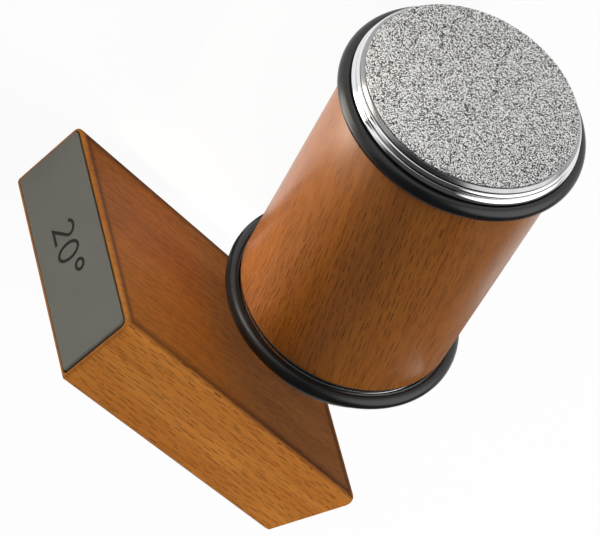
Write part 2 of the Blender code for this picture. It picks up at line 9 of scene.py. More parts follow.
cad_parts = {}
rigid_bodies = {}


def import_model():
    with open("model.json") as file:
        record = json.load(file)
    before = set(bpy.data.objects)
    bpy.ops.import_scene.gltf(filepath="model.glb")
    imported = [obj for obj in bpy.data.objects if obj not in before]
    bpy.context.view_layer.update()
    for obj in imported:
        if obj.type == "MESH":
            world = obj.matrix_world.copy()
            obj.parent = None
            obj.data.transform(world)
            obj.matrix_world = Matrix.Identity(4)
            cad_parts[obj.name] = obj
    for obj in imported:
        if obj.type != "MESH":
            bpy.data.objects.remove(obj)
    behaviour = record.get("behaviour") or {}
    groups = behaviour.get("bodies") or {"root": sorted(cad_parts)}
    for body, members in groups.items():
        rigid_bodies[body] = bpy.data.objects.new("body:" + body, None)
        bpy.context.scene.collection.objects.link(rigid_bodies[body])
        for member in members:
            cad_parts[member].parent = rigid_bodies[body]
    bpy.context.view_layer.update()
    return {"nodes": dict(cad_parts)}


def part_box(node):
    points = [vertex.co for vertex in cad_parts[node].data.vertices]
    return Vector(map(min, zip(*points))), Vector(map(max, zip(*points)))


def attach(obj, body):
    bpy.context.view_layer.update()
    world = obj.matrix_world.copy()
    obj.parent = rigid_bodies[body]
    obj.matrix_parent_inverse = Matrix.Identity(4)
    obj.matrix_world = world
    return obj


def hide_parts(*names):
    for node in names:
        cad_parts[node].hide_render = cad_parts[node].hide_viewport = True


for leftover in list(bpy.data.objects):
    bpy.data.objects.remove(leftover, do_unlink=True)
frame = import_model()
nodes = frame["nodes"]


# Block wood. One loaf of steamed beech, sawn with the grain along its length, its ends cut to the two
# sharpening angles. The edges of the wide face are rounded over by router. A soft dark line of painted
# shade lies beside the rounding, and the whole wide face is painted a little darker, as shade. The other
# edges are only broken.


def linear(hex_colour):
    """An sRGB hex colour as the linear colour that a shader takes."""
    channels = [int(hex_colour[place:place + 2], 16) / 255 for place in (1, 3, 5)]
    return [c / 12.92 if c <= 0.04045 else ((c + 0.055) / 1.055) ** 2.4 for c in channels] + [1.0]


def add_node(tree, kind, settings=None, links=None, stops=None):
    """Add one node: lower-case settings are properties, the others are sockets, and stops fill a ramp."""
    node = tree.nodes.new(kind)
    for name, value in (settings or {}).items():
        if isinstance(name, str) and name[0].islower():
            setattr(node, name, value)
        else:
            node.inputs[name].default_value = value
    for name, socket in (links or {}).items():
        tree.links.new(socket, node.inputs[name])
    if stops:
        ramp = node.color_ramp
        while len(ramp.elements) < len(stops):
            ramp.elements.new(0.5)
        for element, (position, colour) in zip(ramp.elements, stops):
            element.position = position
            element.color = linear(colour)
    return node


def surface(name, **sockets):
    """A material whose Principled shader has these constant sockets."""
    material = bpy.data.materials.new(name)
    material.use_nodes = True
    shader = material.node_tree.nodes["Principled BSDF"]
    for socket, value in sockets.items():
        shader.inputs[socket.replace("_", " ")].default_value = value
    return material, material.node_tree, shader


def put_on(material, *names):
    """Give CAD nodes this finish."""
    for name in names:
        nodes[name].data.materials.clear()
        nodes[name].data.materials.append(material)


def oiled_beech(name, grain_turn, pale, deep, fleck_length, fleck_width, shine, matt):
    """Steamed beech under oil: slow bands of lighter and redder wood, fine dark streaks under a millimetre
    apart, and one thin dark ray fleck in each cell. grain_turn brings the grain to X."""
    material, tree, shader = surface(name, Specular_IOR_Level=shine)
    coordinates = add_node(tree, "ShaderNodeTexCoord")
    along = add_node(tree, "ShaderNodeMapping", {"Rotation": grain_turn},
                     {"Vector": coordinates.outputs["Object"]}).outputs[0]
    facing = add_node(tree, "ShaderNodeMapping", {"vector_type": "NORMAL", "Rotation": grain_turn},
                      {"Vector": coordinates.outputs["Normal"]}).outputs[0]

    band_length = 0.0714
    band_width = 0.00625
    bands = add_node(tree, "ShaderNodeMapping",
                     {"Scale": (1 / band_length, 1 / band_width, 1 / band_width)},
                     {"Vector": along}).outputs[0]
    band = add_node(tree, "ShaderNodeTexNoise", {"Scale": 1.0, "Detail": 3.0, "Distortion": 0.5},
                    {"Vector": bands}).outputs["Fac"]
    wood = add_node(tree, "ShaderNodeValToRGB", None, {"Fac": band},
                    [(0.35, deep), (0.65, pale)]).outputs[0]

    streak_length = 0.020
    streak_width = 0.000667
    streaks = add_node(tree, "ShaderNodeMapping",
                       {"Scale": (1 / streak_length, 1 / streak_width, 1 / streak_width)},
                       {"Vector": along}).outputs[0]
    streak = add_node(tree, "ShaderNodeTexNoise", {"Scale": 1.0, "Detail": 2.0, "Roughness": 0.6},
                      {"Vector": streaks}).outputs["Fac"]
    streak_shade = add_node(tree, "ShaderNodeMapRange",
                            {"From Min": 0.36, "From Max": 0.56, "To Min": 0.84, "To Max": 1.06},
                            {"Value": streak}).outputs[0]
    grained = add_node(tree, "ShaderNodeMix", {"data_type": "RGBA", "blend_type": "MULTIPLY", 0: 1.0},
                       {6: wood, 7: streak_shade}).outputs[2]

    cell_length = 0.0050
    cell_width = 0.0013
    cells = add_node(tree, "ShaderNodeMapping",
                     {"Scale": (1 / cell_length, 1 / cell_width, 1 / cell_width)},
                     {"Vector": along}).outputs[0]
    cell = add_node(tree, "ShaderNodeTexVoronoi", {"Scale": 1.0, "Randomness": 0.85}, {"Vector": cells})
    offset = add_node(tree, "ShaderNodeVectorMath", {"operation": "SUBTRACT"},
                      {0: cells, 1: cell.outputs["Position"]}).outputs[0]
    lengthwise = add_node(tree, "ShaderNodeSeparateXYZ", None, {"Vector": offset}).outputs["X"]
    end_share = add_node(tree, "ShaderNodeMath",
                         {"operation": "MULTIPLY", 1: 2 * cell_length / fleck_length},
                         {0: lengthwise}).outputs[0]
    sideways = add_node(tree, "ShaderNodeVectorMath", {"operation": "MULTIPLY", 1: (0, 1, 1)},
                        {0: offset}).outputs[0]
    over_face = add_node(tree, "ShaderNodeVectorMath", {"operation": "CROSS_PRODUCT"},
                         {0: sideways, 1: facing}).outputs[0]
    aside = add_node(tree, "ShaderNodeVectorMath", {"operation": "LENGTH"},
                     {0: over_face}).outputs["Value"]
    side_share = add_node(tree, "ShaderNodeMath",
                          {"operation": "MULTIPLY", 1: 2 * cell_width / fleck_width},
                          {0: aside}).outputs[0]
    end_reach = add_node(tree, "ShaderNodeMath", {"operation": "ABSOLUTE"}, {0: end_share}).outputs[0]
    reach = add_node(tree, "ShaderNodeMath", {"operation": "MAXIMUM"},
                     {0: end_reach, 1: side_share}).outputs[0]
    core = add_node(tree, "ShaderNodeMapRange",
                    {"From Min": 0.8, "From Max": 1.1, "To Min": 1.0, "To Max": 0.0},
                    {"Value": reach}).outputs[0]
    chance = add_node(tree, "ShaderNodeSeparateColor", None,
                      {"Color": cell.outputs["Color"]}).outputs[0]
    strength = add_node(tree, "ShaderNodeMapRange", {"To Min": 0.55, "To Max": 1.0},
                        {"Value": chance}).outputs[0]
    dash = add_node(tree, "ShaderNodeMath", {"operation": "MULTIPLY"},
                    {0: core, 1: strength}).outputs[0]
    flecked = add_node(tree, "ShaderNodeMix", {"data_type": "RGBA", 7: linear("#1f0c02")},
                       {0: dash, 6: grained}).outputs[2]
    tree.links.new(flecked, shader.inputs["Base Color"])

    gloss = add_node(tree, "ShaderNodeMapRange",
                     {"From Min": 0.3, "From Max": 0.7, "To Min": matt - 0.05, "To Max": matt + 0.05},
                     {"Value": streak}).outputs[0]
    tree.links.new(gloss, shader.inputs["Roughness"])
    sunk = add_node(tree, "ShaderNodeMath", {"operation": "MULTIPLY_ADD", 1: -1.2},
                    {0: dash, 2: streak}).outputs[0]
    relief = add_node(tree, "ShaderNodeBump", {"Strength": 0.3, "Distance": 0.00005},
                      {"Height": sunk}).outputs[0]
    tree.links.new(relief, shader.inputs["Normal"])
    return material


GRAIN_ALONG_X = (0, 0, 0)
block_beech = oiled_beech("oiled_beech_block", GRAIN_ALONG_X, "#bd7831", "#b06a27", fleck_length=0.0034,
                          fleck_width=0.00014, shine=0.25, matt=0.62)
block_low, block_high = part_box("block_body")
block_tree = block_beech.node_tree
block_shader = block_tree.nodes["Principled BSDF"]
oiled_wood = block_shader.inputs["Base Color"].links[0].from_socket
# Painted shade: a soft dark line near the edges of the wide face, beside the rounding, and a slightly
# darker tone over the rest of that face.
block_spot = add_node(block_tree, "ShaderNodeSeparateXYZ", None,
                      {"Vector": add_node(block_tree, "ShaderNodeTexCoord").outputs["Object"]})
nearest_edge = None
for axis, edge, sign in (("X", block_high.x, -1), ("X", block_low.x, 1),
                         ("Z", block_high.z, -1), ("Z", block_low.z, 1)):
    from_edge = add_node(block_tree, "ShaderNodeMath",
                         {"operation": "MULTIPLY_ADD", 1: sign, 2: -sign * edge},
                         {0: block_spot.outputs[axis]}).outputs[0]
    if nearest_edge is None:
        nearest_edge = from_edge
        continue
    nearest_edge = add_node(block_tree, "ShaderNodeMath", {"operation": "MINIMUM"},
                            {0: nearest_edge, 1: from_edge}).outputs[0]
LINE_REACH = 0.006
edge_share = add_node(block_tree, "ShaderNodeMapRange", {"From Min": 0.0, "From Max": LINE_REACH},
                      {"Value": nearest_edge}).outputs[0]
painted_edge_shade = add_node(block_tree, "ShaderNodeValToRGB", None, {"Fac": edge_share},
                   [(0.12, "#ffffff"), (0.32, "#91867d"), (0.64, "#e8dfd3")]).outputs[0]
ROUNDING_START = 0.0010
ROUNDING_END = 0.0028
wide_face = add_node(block_tree, "ShaderNodeMapRange",
                     {"From Min": block_low.y + ROUNDING_START, "From Max": block_low.y + ROUNDING_END,
                      "To Min": 1.0, "To Max": 0.0},
                     {"Value": block_spot.outputs["Y"]}).outputs[0]
wood_with_painted_shade = add_node(block_tree, "ShaderNodeMix", {"data_type": "RGBA", "blend_type": "MULTIPLY"},
                          {0: wide_face, 6: oiled_wood, 7: painted_edge_shade}).outputs[2]
block_tree.links.new(wood_with_painted_shade, block_shader.inputs["Base Color"])
put_on(block_beech, "block_body")


# Magnets and keepers. Bar magnets behind the pads and disc magnets in the hubs are sintered and nickel
# plated, which leaves a warm shine, mottled at 1.4 mm. The keepers are sheared from mild steel sheet.


def mottled(name, patch_size, detail, tones, gloss, **sockets):
    """A finish whose tone and roughness drift a little from patch to patch."""
    material, tree, shader = surface(name, **sockets)
    place = add_node(tree, "ShaderNodeTexCoord").outputs["Object"]
    patch = add_node(tree, "ShaderNodeTexNoise", {"Scale": 1 / patch_size, "Detail": detail},
                     {"Vector": place}).outputs["Fac"]
    tone = add_node(tree, "ShaderNodeValToRGB", None, {"Fac": patch}, tones).outputs[0]
    tree.links.new(tone, shader.inputs["Base Color"])
    matt = add_node(tree, "ShaderNodeMapRange", {"To Min": gloss[0], "To Max": gloss[1]},
                    {"Value": patch}).outputs[0]
    tree.links.new(matt, shader.inputs["Roughness"])
    return material


nickel = mottled("nickel_plated_magnet", 0.00143, 3.0, [(0.3, "#bdb6ab"), (0.7, "#d2ccc2")],
                 (0.18, 0.34), Metallic=1.0)
put_on(nickel, *[name for name in nodes if "magnet" in name])

mild_steel = mottled("sheared_mild_steel", 0.00238, 5.0, [(0.3, "#8a8a8c"), (0.7, "#a6a6a7")],
                     (0.32, 0.5), Metallic=1.0)
put_on(mild_steel, "keeper_20", "keeper_15")


# Blade pads. Smooth olive-grey silicone, moulded with softly rounded edges and glued into a shallow seat
# in each end, just proud of the wood. Each carries its angle, pad-printed in a darker olive.
pad_silicone, pad_tree, pad_shader = surface("moulded_silicone_pad", Roughness=0.58, Specular_IOR_Level=0.4)
pad_place = add_node(pad_tree, "ShaderNodeTexCoord").outputs["Object"]
CLOUD_SIZE = 0.0167
pad_cloud = add_node(pad_tree, "ShaderNodeTexNoise", {"Scale": 1 / CLOUD_SIZE, "Detail": 3.0},
                     {"Vector": pad_place}).outputs["Fac"]
pad_tone = add_node(pad_tree, "ShaderNodeValToRGB", None, {"Fac": pad_cloud},
                    [(0.3, "#6e6d64"), (0.7, "#76746b")]).outputs[0]
pad_tree.links.new(pad_tone, pad_shader.inputs["Base Color"])
SKIN_GRAIN = 0.0001923
pad_skin = add_node(pad_tree, "ShaderNodeTexNoise", {"Scale": 1 / SKIN_GRAIN, "Detail": 2.0},
                    {"Vector": pad_place}).outputs["Fac"]
pad_relief = add_node(pad_tree, "ShaderNodeBump", {"Strength": 0.12, "Distance": 0.00003},
                      {"Height": pad_skin}).outputs[0]
pad_tree.links.new(pad_relief, pad_shader.inputs["Normal"])
put_on(pad_silicone, "pad_20", "pad_15")

print_ink, ink_tree, ink_shader = surface("pad_printed_olive_ink", Roughness=0.6,
                                          Specular_IOR_Level=0.15)
ink_place = add_node(ink_tree, "ShaderNodeTexCoord").outputs["Object"]
INK_GRAIN = 0.0003846
ink_cloud = add_node(ink_tree, "ShaderNodeTexNoise", {"Scale": 1 / INK_GRAIN, "Detail": 2.0},
                     {"Vector": ink_place}).outputs["Fac"]
ink_tone = add_node(ink_tree, "ShaderNodeValToRGB", None, {"Fac": ink_cloud},
                    [(0.3, "#24251d"), (0.7, "#2c2d25")]).outputs[0]
ink_tree.links.new(ink_tone, ink_shader.inputs["Base Color"])

STROKE = 0.00076
CAP_HEIGHT = 0.0068
INK_THICKNESS = 0.00002
INK_CLEARANCE = 0.00001
MARK_SPOTS = [(-0.0049, -0.0005), (0.0002, -0.0005), (0.0050, 0.0018)]


def curve_points(centre, reach, start, end, steps):
    """Points on an arc of an ellipse, angles in degrees."""
    turns = [math.radians(start + (end - start) * step / steps) for step in range(steps + 1)]
    return [(centre[0] + reach[0] * math.cos(turn), centre[1] + reach[1] * math.sin(turn))
            for turn in turns]


def digit_lines(mark):
    """Centre lines of one figure about its own middle, in cap heights."""
    if mark == "0":
        return [(curve_points((0, 0), (0.27, 0.46), 0, 360, 48), True)]
    if mark == "2":
        bowl = curve_points((-0.01, 0.23), (0.245, 0.23), 168, -38, 22)
        return [(bowl + [(-0.27, -0.46), (0.29, -0.46)], False)]
    if mark == "1":
        return [([(-0.18, 0.26), (0.06, 0.46), (0.06, -0.50)], False)]
    if mark == "5":
        bowl = curve_points((-0.02, -0.16), (0.26, 0.30), 128, -142, 26)
        return [([(0.24, 0.46), (-0.16, 0.46)] + bowl, False)]
    return [(curve_points((0, 0), (0.175, 0.175), 0, 360, 32), True)]


def printed_figure(name, line, closed, middle, place, body):
    """A thin ink stroke along a line, lying on the pad."""
    bm = bmesh.new()
    count = len(line)
    edges = []
    for index, point in enumerate(line):
        before = line[index - 1] if index or closed else point
        after = line[(index + 1) % count] if index + 1 < count or closed else point
        if closed and index == 0:
            before = line[-2]
        if closed and index == count - 1:
            after = line[1]
        here = Vector(point)
        run_out = (Vector(after) - here).normalized()
        run_in = (here - Vector(before)).normalized() if before != point else run_out
        if after == point:
            run_out = run_in
        run = (run_in + run_out).normalized()
        side = Vector((-run.y, run.x)) * STROKE / 2 / max(0.35, run.dot(run_in))
        spot = Vector(middle) + here * CAP_HEIGHT
        edges.append([bm.verts.new((*(spot + side), 0)), bm.verts.new((*(spot - side), 0))])
    for first, second in zip(edges, edges[1:]):
        bm.faces.new((first[0], first[1], second[1], second[0]))
    bmesh.ops.remove_doubles(bm, verts=bm.verts, dist=0.000001)
    bmesh.ops.recalc_face_normals(bm, faces=bm.faces)
    mesh = bpy.data.meshes.new(name)
    bm.to_mesh(mesh)
    bm.free()
    mesh.materials.append(print_ink)
    figure = bpy.data.objects.new(name, mesh)
    bpy.context.collection.objects.link(figure)
    figure.matrix_world = place
    film = figure.modifiers.new("ink_film", "SOLIDIFY")
    film.thickness = INK_THICKNESS
    film.offset = 1.0
    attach(figure, body)


for node, angle, side, marks in (("pad_20", 20, 1, "20o"), ("pad_15", 15, -1, "15o")):
    pad_low, pad_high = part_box(node)
    lean = math.radians(angle)
    out = Vector((side * math.cos(lean), math.sin(lean), 0))
    up = Vector((side * math.sin(lean), -math.cos(lean), 0))
    reading = up.cross(out)
    face = max(vertex.co.dot(out) for vertex in nodes[node].data.vertices)
    middle_y = (pad_low.y + pad_high.y) / 2
    middle_x = (face - middle_y * out.y) / out.x
    centre = Vector((middle_x, middle_y, (pad_low.z + pad_high.z) / 2)) + out * INK_CLEARANCE
    axes = Matrix((reading, up, out)).transposed().to_4x4()
    for number, (mark, spot) in enumerate(zip(marks, MARK_SPOTS)):
        for line, closed in digit_lines(mark):
            printed_figure(f"printed_{node}_{number + 1}", line, closed, spot,
                           Matrix.Translation(centre) @ axes, "angle_block")


# Base sheet. A die-cut sheet of black nitrile rubber glued into a shallow recess of the base. Rollers
# press a fine texture into it, half a millimetre apart, which keeps the block from sliding.
nitrile, nitrile_tree, nitrile_shader = surface("calendered_nitrile_sheet", Roughness=0.8)
nitrile_place = add_node(nitrile_tree, "ShaderNodeTexCoord").outputs["Object"]
ROLLED_PITCH = 0.0005263
weave = add_node(nitrile_tree, "ShaderNodeTexVoronoi", {"Scale": 1 / ROLLED_PITCH},
                 {"Vector": nitrile_place}).outputs["Distance"]
nitrile_tone = add_node(nitrile_tree, "ShaderNodeValToRGB", None, {"Fac": weave},
                        [(0.1, "#2a2a2a"), (0.7, "#1c1c1c")]).outputs[0]
nitrile_tree.links.new(nitrile_tone, nitrile_shader.inputs["Base Color"])
nitrile_relief = add_node(nitrile_tree, "ShaderNodeBump", {"Strength": 0.5, "Distance": 0.00008},
                          {"Height": weave}).outputs[0]
nitrile_tree.links.new(nitrile_relief, nitrile_shader.inputs["Normal"])
put_on(nitrile, "base_sheet")


# Grip. A sleeve of the same beech, turned between centres, sanded and oiled to a slightly higher shine than
# the block. The blank was sawn a little off the grain, so the flecks run 7 degrees askew on its upper side.
ROUND = 160
TURN = math.radians(42)
grip_low, grip_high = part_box("wood_grip")
roller_middle = (grip_low + grip_high) / 2
COARSE_END = (Matrix.Translation(roller_middle) @ Matrix.Rotation(TURN, 4, "Z")
              @ Matrix.Rotation(math.pi / 2, 4, "X"))
FINE_END = COARSE_END @ Matrix.Rotation(math.pi, 4, "X")


def rounded(corners):
    """A closed outline from (radius, height, fillet) corners, each fillet drawn with a few points."""
    points = []
    for index, (radius, height, fillet) in enumerate(corners):
        here = Vector((radius, height))
        if not fillet:
            points.append(tuple(here))
            continue
        back = (Vector(corners[index - 1][:2]) - here).normalized()
        ahead = (Vector(corners[(index + 1) % len(corners)][:2]) - here).normalized()
        half = back.angle(ahead) / 2
        reach = fillet / math.tan(half)
        centre = here + (back + ahead).normalized() * fillet / math.sin(half)
        first = here + back * reach - centre
        last = here + ahead * reach - centre
        sweep = first.angle_signed(last)
        for step in range(5):
            spot = first.copy()
            spot.rotate(Matrix.Rotation(-sweep * step / 4, 2))
            points.append(tuple(centre + spot))
    return points


def turned(name, outline, place, steps=ROUND):
    """Turn a closed outline of (radius, height) points about the roller's axis."""
    bm = bmesh.new()
    ring = [bm.verts.new((radius, 0, height)) for radius, height in outline]
    edges = [bm.edges.new((ring[index - 1], ring[index])) for index in range(len(ring))]
    bmesh.ops.spin(bm, geom=ring + edges, cent=(0, 0, 0), axis=(0, 0, 1), angle=math.tau,
                   steps=steps, use_merge=True)
    bmesh.ops.remove_doubles(bm, verts=bm.verts, dist=0.0000005)
    bmesh.ops.recalc_face_normals(bm, faces=bm.faces)
    mesh = bpy.data.meshes.new(name)
    bm.to_mesh(mesh)
    bm.free()
    mesh.shade_smooth()
    mesh.set_sharp_from_angle(angle=math.radians(32))
    piece = bpy.data.objects.new(name, mesh)
    bpy.context.collection.objects.link(piece)
    piece.matrix_world = place
    return piece


def dress(piece, material, body, node):
    """Give a turned piece its finish and let it stand for its CAD node."""
    piece.data.materials.append(material)
    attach(piece, body)
    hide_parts(node)


GRIP_RADIUS = 0.0255
GRIP_END = 0.032524
SEAT = 0.0113
SEAT_FLOOR = 0.024724
BORE = 0.0085
grip_side = [(GRIP_RADIUS, GRIP_END, 0.0005), (SEAT, GRIP_END, 0.0003),
             (SEAT, SEAT_FLOOR, 0), (BORE, SEAT_FLOOR, 0)]
grip_corners = grip_side + [(radius, -height, fillet) for radius, height, fillet in reversed(grip_side)]
grip = turned("turned_grip", rounded(grip_corners), COARSE_END)
grip_grain = (Matrix.Rotation(math.pi / 2, 3, "Y")
              @ Matrix.Rotation(math.radians(-7), 3, Vector((0.616, 0.788, 0)))).to_euler()
# Painted shade: the grip's colours are the block's beech painted darker, as a shaded copy of it.
grip_beech = oiled_beech("oiled_beech_grip", grip_grain, "#935619", "#884e17", fleck_length=0.0032,
                         fleck_width=0.00014, shine=0.5, matt=0.45)
grip_shader = grip_beech.node_tree.nodes["Principled BSDF"]
grip_shader.inputs["Coat Weight"].default_value = 0.5
grip_shader.inputs["Coat Roughness"].default_value = 0.3
dress(grip, grip_beech, "grip", "wood_grip")


# Running gear. Axle, spacer, races, balls and countersunk screws are ground bearing steel; the ball cages
# are machined brass. Little of it shows until the discs are off.
bearing_steel = mottled("ground_bearing_steel", 0.00111, 3.0, [(0.3, "#b9babc"), (0.7, "#cdced0")],
                        (0.16, 0.28), Metallic=1.0)
put_on(bearing_steel, "axle", "spacer_tube", *[name for name in nodes if "_race" in name or "_ball_" in name
                                               or name.endswith("_hub_screw")])

brass = mottled("machined_brass", 0.0020, 3.0, [(0.3, "#b98f3f"), (0.7, "#d6b066")],
                (0.28, 0.42), Metallic=1.0)
put_on(brass, "coarse_bearing_cage", "fine_bearing_cage")


# Hubs. Turned zinc alloy, copper and chrome plated to a mirror, screwed to the ends of the axle. Each has
# a thin inner flange, the groove for its ring, and an outer lip turned as two beads with a notch between
# them, round the recess that takes the disc. Four round seats hold its magnets.
chrome, chrome_tree, chrome_shader = surface("bright_chrome_plate", Metallic=1.0,
                                             Base_Color=linear("#ececed"))
chrome_place = add_node(chrome_tree, "ShaderNodeTexCoord").outputs["Object"]
HAZE_SIZE = 0.00417
haze = add_node(chrome_tree, "ShaderNodeTexNoise", {"Scale": 1 / HAZE_SIZE, "Detail": 2.0},
                {"Vector": chrome_place}).outputs["Fac"]
chrome_gloss = add_node(chrome_tree, "ShaderNodeMapRange",
                        {"From Min": 0.3, "From Max": 0.7, "To Min": 0.05, "To Max": 0.09},
                        {"Value": haze}).outputs[0]
chrome_tree.links.new(chrome_gloss, chrome_shader.inputs["Roughness"])

RING_HEIGHT = 0.0354
RING_CIRCLE = 0.02625
RING_THICKNESS = 0.0035
GROOVE_RADIUS = 0.00205
FLANGE_RADIUS = 0.02490
FLANGE_BACK = 0.032924
FLANGE_TOP = 0.033857
BOSS_RADIUS = 0.0060
BOSS_BACK = 0.032324
NOTCH_RADIUS = 0.02440
HUB_TOP = 0.03995
RECESS_RADIUS = 0.0203
RECESS_FLOOR = 0.03875
AXLE_POCKET_RADIUS = 0.0043
AXLE_POCKET_END = 0.03575
SCREW_HEAD_RADIUS = 0.0043
SCREW_HEAD_TOP = 0.03825
SCREW_HOLE_RADIUS = 0.0023
SCREW_HOLE_TOP = 0.03625
MAGNET_CIRCLE = 0.0125
MAGNET_SEAT_RADIUS = 0.0043
MAGNET_SEAT_FLOOR = 0.03595
MAGNET_SEAT_TOP = 0.0392


def bent(centre, radius, start, end, steps):
    """Corners along an arc, with no fillet of their own."""
    turns = [math.radians(start + (end - start) * step / steps) for step in range(steps + 1)]
    return [(centre[0] + radius * math.cos(turn), centre[1] + radius * math.sin(turn), 0)
            for turn in turns]


hub_corners = [(AXLE_POCKET_RADIUS, BOSS_BACK, 0), (BOSS_RADIUS, BOSS_BACK, 0),
               (BOSS_RADIUS, FLANGE_BACK, 0), (FLANGE_RADIUS, FLANGE_BACK, 0.00005),
               (FLANGE_RADIUS, FLANGE_TOP, 0)]
hub_corners += bent((RING_CIRCLE, RING_HEIGHT), GROOVE_RADIUS, -131, -236, 24)
hub_corners += bent((0.02500, 0.03770), 0.00090, -10, 65, 14)
hub_corners += [(NOTCH_RADIUS, 0.03855, 0), (NOTCH_RADIUS, 0.03884, 0)]
hub_corners += bent((0.02475, 0.03930), 0.00065, -42, 90, 18)
hub_corners += [(RECESS_RADIUS, HUB_TOP, 0.00010), (RECESS_RADIUS, RECESS_FLOOR, 0),
                (SCREW_HEAD_RADIUS, RECESS_FLOOR, 0), (SCREW_HEAD_RADIUS, SCREW_HEAD_TOP, 0),
                (SCREW_HOLE_RADIUS, SCREW_HOLE_TOP, 0), (SCREW_HOLE_RADIUS, AXLE_POCKET_END, 0),
                (AXLE_POCKET_RADIUS, AXLE_POCKET_END, 0)]
seat_outline = [(0, MAGNET_SEAT_FLOOR), (MAGNET_SEAT_RADIUS, MAGNET_SEAT_FLOOR),
                (MAGNET_SEAT_RADIUS, MAGNET_SEAT_TOP), (0, MAGNET_SEAT_TOP)]
for end, place in (("coarse", COARSE_END), ("fine", FINE_END)):
    hub = turned(end + "_chrome_hub", rounded(hub_corners), place)
    dress(hub, chrome, "wheelset", end + "_hub")
    for index in range(4):
        turn = index * math.pi / 2
        spot = (MAGNET_CIRCLE * math.cos(turn), MAGNET_CIRCLE * math.sin(turn), 0)
        seat = turned(f"{end}_seat_tool_{index + 1}", seat_outline, place @ Matrix.Translation(spot), 40)
        bore = hub.modifiers.new("magnet_seat", "BOOLEAN")
        bore.operation = "DIFFERENCE"
        bore.solver = "EXACT"
        bore.object = seat
        seat.hide_render = True
        seat.parent = hub
        seat.matrix_parent_inverse = hub.matrix_world.inverted()


# Rings. Moulded black rubber of round section, stretched into the grooves of the hubs. They are the
# roller's tyres, so they have a soft sheen and the faint bloom of handled rubber, in 3 mm patches.
ring_rubber = mottled("moulded_black_rubber", 0.00303, 4.0, [(0.3, "#0e0f0f"), (0.75, "#151616")],
                      (0.26, 0.36), Specular_IOR_Level=0.5)
for end, place in (("coarse", COARSE_END), ("fine", FINE_END)):
    circle = bent((RING_CIRCLE, RING_HEIGHT), RING_THICKNESS / 2, 0, 360, 32)[:-1]
    ring = turned(end + "_rubber_ring", [corner[:2] for corner in circle], place)
    dress(ring, ring_rubber, "wheelset", end + "_ring")


# Coarse disc. A steel plate turned with a bevelled edge and a locating spigot, held in the hub by magnets.
# Its turning marks are too fine to show, so only a slight drift of tone is drawn. A sheet of diamond grit
# set in nickel is bonded to it: bright and dark points, drawn twice as coarse as they are, so they show.
plate_steel = mottled("turned_plate_steel", 0.00385, 2.0, [(0.3, "#9a9a9b"), (0.7, "#a8a8a9")],
                      (0.20, 0.28), Metallic=1.0)
SPIGOT_RADIUS = 0.0200
SPIGOT_END = 0.03905
DISC_RADIUS = 0.02485
DISC_BACK = 0.04025
BEVEL_START = 0.04035
PLATE_TOP_RADIUS = 0.02425
PLATE_TOP = 0.0410
disc_back_corners = [(0, SPIGOT_END, 0), (SPIGOT_RADIUS, SPIGOT_END, 0.00015),
                     (SPIGOT_RADIUS, DISC_BACK, 0), (DISC_RADIUS, DISC_BACK, 0.00004)]
plate_corners = disc_back_corners + [(DISC_RADIUS, BEVEL_START, 0.00004),
                                     (PLATE_TOP_RADIUS, PLATE_TOP, 0.00008), (0, PLATE_TOP, 0)]
coarse_plate = turned("coarse_steel_plate", rounded(plate_corners), COARSE_END)
dress(coarse_plate, plate_steel, "coarse_disc", "coarse_disc_plate")

grit, grit_tree, grit_shader = surface("nickel_bonded_diamond_grit", Specular_IOR_Level=0.6)
grit_place = add_node(grit_tree, "ShaderNodeTexCoord").outputs["Object"]
GRIT_SPACING = 0.0002364
grains = add_node(grit_tree, "ShaderNodeTexNoise", {"Scale": 1 / GRIT_SPACING, "Detail": 0.0},
                  {"Vector": grit_place}).outputs["Fac"]
grit_tone = add_node(grit_tree, "ShaderNodeValToRGB", None, {"Fac": grains},
                     [(0.44, "#080808"), (0.47, "#7f7d79"), (0.495, "#f4f2ee"),
                      (0.52, "#ffffff")]).outputs[0]
grit_tree.links.new(grit_tone, grit_shader.inputs["Base Color"])
grit_gloss = add_node(grit_tree, "ShaderNodeMapRange",
                      {"From Min": 0.35, "From Max": 0.65, "To Min": 0.75, "To Max": 0.35},
                      {"Value": grains}).outputs[0]
grit_tree.links.new(grit_gloss, grit_shader.inputs["Roughness"])
grit_relief = add_node(grit_tree, "ShaderNodeBump", {"Strength": 0.8, "Distance": 0.00006},
                       {"Height": grains}).outputs[0]
grit_tree.links.new(grit_relief, grit_shader.inputs["Normal"])
FACE_RADIUS = 0.0240
FACE = 0.0415
GRIT_BACK = 0.04115
grit_corners = [(0, GRIT_BACK, 0), (FACE_RADIUS, GRIT_BACK, 0), (FACE_RADIUS, FACE, 0.00006), (0, FACE, 0)]
grit_sheet = turned("coarse_grit_face", rounded(grit_corners), COARSE_END)
dress(grit_sheet, grit, "coarse_disc", "coarse_grit_sheet")


# Fine disc. One piece of stainless steel, its face ground in fine concentric lines for honing, with the
# same bevel and spigot as the coarse one. The real lines are too fine to show; these are 0.45 mm apart.
ground_steel, ground_tree, ground_shader = surface("ground_stainless_steel", Metallic=1.0)
ground_place = add_node(ground_tree, "ShaderNodeTexCoord").outputs["Object"]
LINE_SPACING = 0.000449
RING_AT_SCALE_ONE = math.tau / 20
lathe_lines = add_node(ground_tree, "ShaderNodeTexWave",
                       {"wave_type": "RINGS", "rings_direction": "Z",
                        "Scale": RING_AT_SCALE_ONE / LINE_SPACING, "Distortion": 0.2},
                       {"Vector": ground_place}).outputs["Fac"]
ground_tone = add_node(ground_tree, "ShaderNodeValToRGB", None, {"Fac": lathe_lines},
                       [(0.2, "#c6c6c8"), (0.8, "#d9d9da")]).outputs[0]
ground_tree.links.new(ground_tone, ground_shader.inputs["Base Color"])
ground_gloss = add_node(ground_tree, "ShaderNodeMapRange", {"To Min": 0.22, "To Max": 0.32},
                        {"Value": lathe_lines}).outputs[0]
ground_tree.links.new(ground_gloss, ground_shader.inputs["Roughness"])
ground_relief = add_node(ground_tree, "ShaderNodeBump", {"Strength": 0.25, "Distance": 0.00002},
                         {"Height": lathe_lines}).outputs[0]
